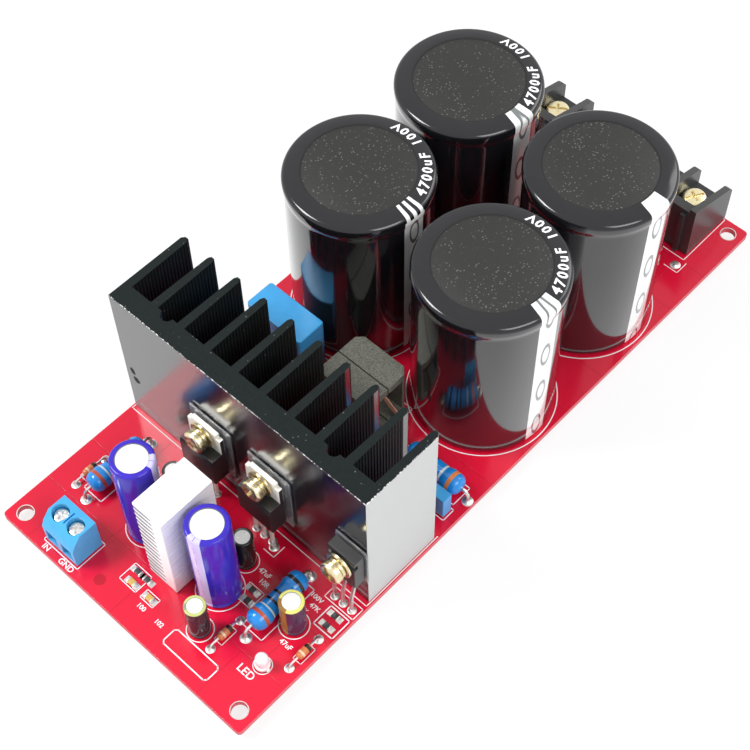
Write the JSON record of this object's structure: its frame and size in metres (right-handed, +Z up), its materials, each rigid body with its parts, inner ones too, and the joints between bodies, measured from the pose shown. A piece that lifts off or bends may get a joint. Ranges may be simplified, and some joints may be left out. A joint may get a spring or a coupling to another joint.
{
  "type": "audio amplifier board",
  "caption": "Long circuit board with a finned heatsink and its transistors, tall filter capacitors, an inductor, an input terminal and screw barrier terminals at the far edge.",
  "frame": {"origin": "middle of the board's outline, on the surface that the clipped leads stand on", "axes": "+Z up, +Y along the board towards the barrier terminals, +X along the short side"},
  "size_m": [0.077, 0.181, 0.0534],
  "materials": {
    "red_solder_mask": "satin",
    "black_sleeve": "gloss",
    "black_anodised": "satin",
    "bare_aluminium": "satin",
    "black_moulding": "matte",
    "insulating_film": "satin",
    "zinc_plated_steel": "satin",
    "tinned_brass": "satin",
    "violet_sleeve": "gloss",
    "dark_sleeve": "gloss",
    "blue_lacquer": "gloss",
    "diode_glass": "gloss",
    "clear_resin": "gloss",
    "blue_moulding": "satin",
    "blue_case": "satin",
    "ferrite": "matte",
    "enamelled_copper": "gloss"
  },
  "bodies": {
    "board": {"barrier_contact_left_1": "tinned_brass", "barrier_contact_left_2": "tinned_brass", "barrier_contact_right_1": "tinned_brass", "barrier_contact_right_2": "tinned_brass", "barrier_housing_left": "black_moulding", "barrier_housing_right": "black_moulding", "circuit_board": "red_solder_mask", "comb_heatsink": "bare_aluminium", "core_back": "ferrite", "core_front": "ferrite", "diode_left": "diode_glass", "diode_middle": "diode_glass", "diode_right": "diode_glass", "driver_chip": "black_moulding", "driver_transistor": "black_moulding", "film_capacitor_large": "blue_case", "film_capacitor_small": "blue_case", "filter_capacitor_front_left": "black_sleeve", "filter_capacitor_front_right": "black_sleeve", "filter_capacitor_rear_left": "black_sleeve", "filter_capacitor_rear_right": "black_sleeve", "fixing_screw_1": "zinc_plated_steel", "fixing_screw_2": "zinc_plated_steel", "fixing_screw_3": "zinc_plated_steel", "heatsink_screw_1": "zinc_plated_steel", "heatsink_screw_2": "zinc_plated_steel", "indicator_led": "clear_resin", "inductor_former": "black_moulding", "inductor_winding": "enamelled_copper", "input_contact_1": "tinned_brass", "input_contact_2": "tinned_brass", "input_terminal_housing": "blue_moulding", "insulating_pad_1": "insulating_film", "insulating_pad_2": "insulating_film", "insulating_pad_3": "insulating_film", "main_heatsink": "black_anodised", "power_transistor_1": "black_moulding", "power_transistor_2": "black_moulding", "resistor_left": "blue_lacquer", "resistor_middle": "blue_lacquer", "resistor_right": "blue_lacquer", "slim_capacitor_1": "violet_sleeve", "slim_capacitor_2": "violet_sleeve", "small_capacitor_centre": "dark_sleeve", "small_capacitor_left": "dark_sleeve", "small_capacitor_rear": "dark_sleeve", "small_capacitor_right": "dark_sleeve"},
    "input_screw_1": {"input_screw_1": "zinc_plated_steel"},
    "input_cage_1": {"input_cage_1": "tinned_brass"},
    "input_screw_2": {"input_screw_2": "zinc_plated_steel"},
    "input_cage_2": {"input_cage_2": "tinned_brass"},
    "barrier_washer_left_1": {"barrier_washer_left_1": "zinc_plated_steel"},
    "barrier_screw_left_1": {"barrier_screw_left_1": "zinc_plated_steel"},
    "barrier_washer_left_2": {"barrier_washer_left_2": "zinc_plated_steel"},
    "barrier_screw_left_2": {"barrier_screw_left_2": "zinc_plated_steel"},
    "barrier_washer_right_1": {"barrier_washer_right_1": "zinc_plated_steel"},
    "barrier_screw_right_1": {"barrier_screw_right_1": "zinc_plated_steel"},
    "barrier_washer_right_2": {"barrier_washer_right_2": "zinc_plated_steel"},
    "barrier_screw_right_2": {"barrier_screw_right_2": "zinc_plated_steel"}
  },
  "joints": [
    {"name": "input_screw_1_turn", "type": "hinge", "parent": "board", "child": "input_screw_1", "pos_m": [-0.02345, -0.08375, 0.0133], "axis": [0, 0, -1], "range_deg": [0, 1297]},
    {"name": "input_cage_1_rise", "type": "slide", "parent": "board", "child": "input_cage_1", "axis": [0, 0, 1], "range_m": [0, 0.0018]},
    {"name": "input_screw_2_turn", "type": "hinge", "parent": "board", "child": "input_screw_2", "pos_m": [-0.01837, -0.08375, 0.0133], "axis": [0, 0, -1], "range_deg": [0, 1297]},
    {"name": "input_cage_2_rise", "type": "slide", "parent": "board", "child": "input_cage_2", "axis": [0, 0, 1], "range_m": [0, 0.0018]},
    {"name": "barrier_left_1_lift", "type": "slide", "parent": "board", "child": "barrier_washer_left_1", "axis": [0, 0, 1], "range_m": [0, 0.003]},
    {"name": "barrier_left_1_turn", "type": "hinge", "parent": "barrier_washer_left_1", "child": "barrier_screw_left_1", "pos_m": [-0.01855, 0.0822, 0.013], "axis": [0, 0, 1], "range_deg": [0, 1801]},
    {"name": "barrier_left_2_lift", "type": "slide", "parent": "board", "child": "barrier_washer_left_2", "axis": [0, 0, 1], "range_m": [0, 0.003]},
    {"name": "barrier_left_2_turn", "type": "hinge", "parent": "barrier_washer_left_2", "child": "barrier_screw_left_2", "pos_m": [-0.00905, 0.0822, 0.013], "axis": [0, 0, 1], "range_deg": [0, 1801]},
    {"name": "barrier_right_1_lift", "type": "slide", "parent": "board", "child": "barrier_washer_right_1", "axis": [0, 0, 1], "range_m": [0, 0.003]},
    {"name": "barrier_right_1_turn", "type": "hinge", "parent": "barrier_washer_right_1", "child": "barrier_screw_right_1", "pos_m": [0.01595, 0.0822, 0.013], "axis": [0, 0, 1], "range_deg": [0, 1801]},
    {"name": "barrier_right_2_lift", "type": "slide", "parent": "board", "child": "barrier_washer_right_2", "axis": [0, 0, 1], "range_m": [0, 0.003]},
    {"name": "barrier_right_2_turn", "type": "hinge", "parent": "barrier_washer_right_2", "child": "barrier_screw_right_2", "pos_m": [0.02545, 0.0822, 0.013], "axis": [0, 0, 1], "range_deg": [0, 1801]}
  ],
  "couplings": [
    {"joint": "input_screw_1_turn", "follows": "input_cage_1_rise", "rad_per_m": 12566},
    {"joint": "input_screw_2_turn", "follows": "input_cage_2_rise", "rad_per_m": 12566},
    {"joint": "barrier_left_1_turn", "follows": "barrier_left_1_lift", "rad_per_m": 10472},
    {"joint": "barrier_left_2_turn", "follows": "barrier_left_2_lift", "rad_per_m": 10472},
    {"joint": "barrier_right_1_turn", "follows": "barrier_right_1_lift", "rad_per_m": 10472},
    {"joint": "barrier_right_2_turn", "follows": "barrier_right_2_lift", "rad_per_m": 10472}
  ]
}
